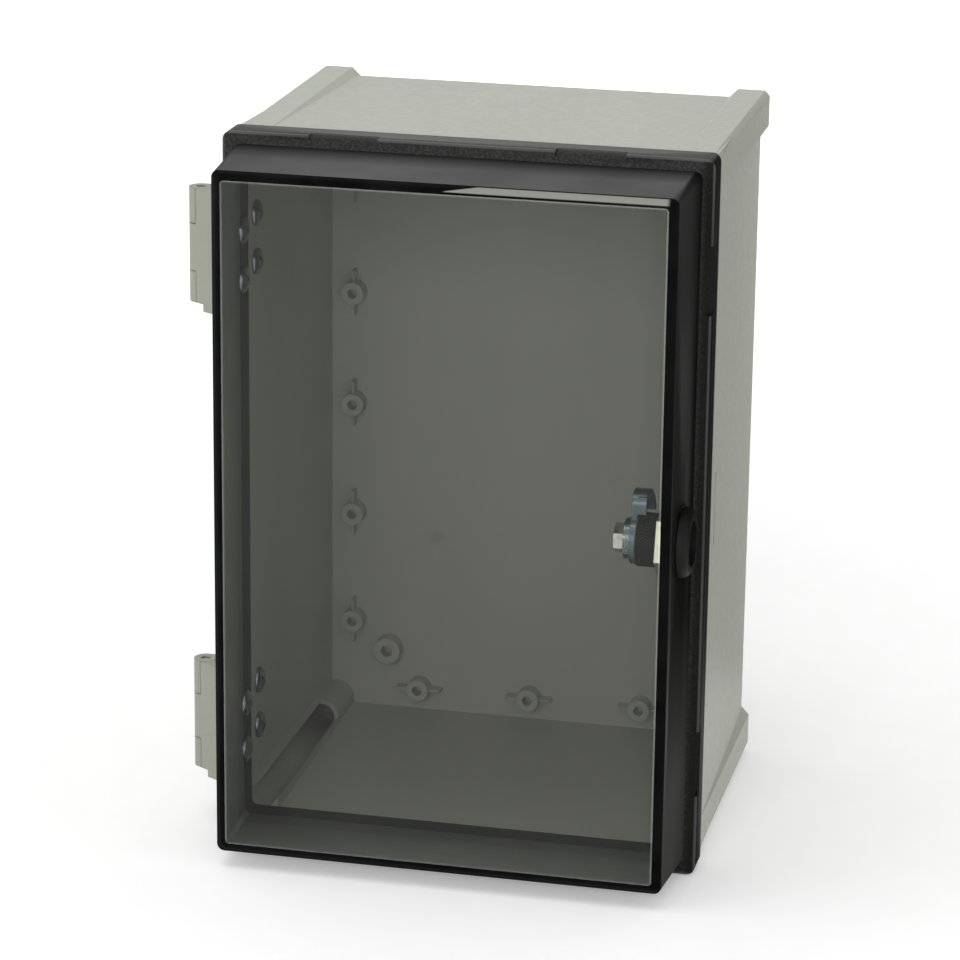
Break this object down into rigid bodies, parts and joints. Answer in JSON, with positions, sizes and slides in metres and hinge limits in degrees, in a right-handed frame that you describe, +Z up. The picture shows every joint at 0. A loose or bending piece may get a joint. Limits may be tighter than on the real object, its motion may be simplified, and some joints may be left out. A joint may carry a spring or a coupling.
{
  "type": "hinged polycarbonate enclosure",
  "caption": "Upright grey polycarbonate enclosure with a smoked domed door on side hinges and a quarter-turn lock in the door's side.",
  "frame": {"origin": "centre of the wall plane that the four rear pads stand on", "axes": "+Z up, +Y towards the wall, -Y towards the door, +X towards the lock side"},
  "size_m": [0.215, 0.1848, 0.2964],
  "materials": {
    "base_plastic": "light grey moulded polycarbonate, fine satin",
    "hinge_plastic": "light grey moulded plastic, satin",
    "smoked_plastic": "smoked transparent polycarbonate, polished window, fine-textured rim",
    "black_plastic": "black moulded plastic, satin",
    "seal_foam": "foamed polyurethane seal",
    "seal_rubber": "flat rubber ring",
    "zinc_steel": "zinc-plated steel",
    "zinc_nut": "pale passivated zinc"
  },
  "bodies": {
    "base": {"base_shell": "base_plastic", "lock_keeper": "zinc_steel", "keeper_screws": "zinc_steel", "upper_hinge_base_leaf": "hinge_plastic", "lower_hinge_base_leaf": "hinge_plastic", "upper_hinge_pin": "zinc_steel", "lower_hinge_pin": "zinc_steel", "upper_base_leaf_screws": "zinc_steel", "lower_base_leaf_screws": "zinc_steel"},
    "door": {"door_cover": "smoked_plastic", "door_gasket": "seal_foam", "upper_hinge_door_leaf": "hinge_plastic", "lower_hinge_door_leaf": "hinge_plastic", "upper_door_leaf_screws": "zinc_steel", "lower_door_leaf_screws": "zinc_steel", "lock_housing": "black_plastic", "lock_seal": "seal_rubber", "lock_nut": "zinc_nut"},
    "lock": {"lock_core": "black_plastic", "cam": "zinc_steel", "cam_collar": "zinc_steel", "cam_screw": "zinc_steel"}
  },
  "joints": [
    {"name": "door_hinge", "type": "hinge", "parent": "base", "child": "door", "pos_m": [-0.1115, -0.131, 0], "axis": [0, 0, -1], "range_deg": [0, 180]},
    {"name": "lock_turn", "type": "hinge", "parent": "door", "child": "lock", "pos_m": [0.08, -0.1648, 0], "axis": [-1, 0, 0], "range_deg": [0, 90]}
  ]
}
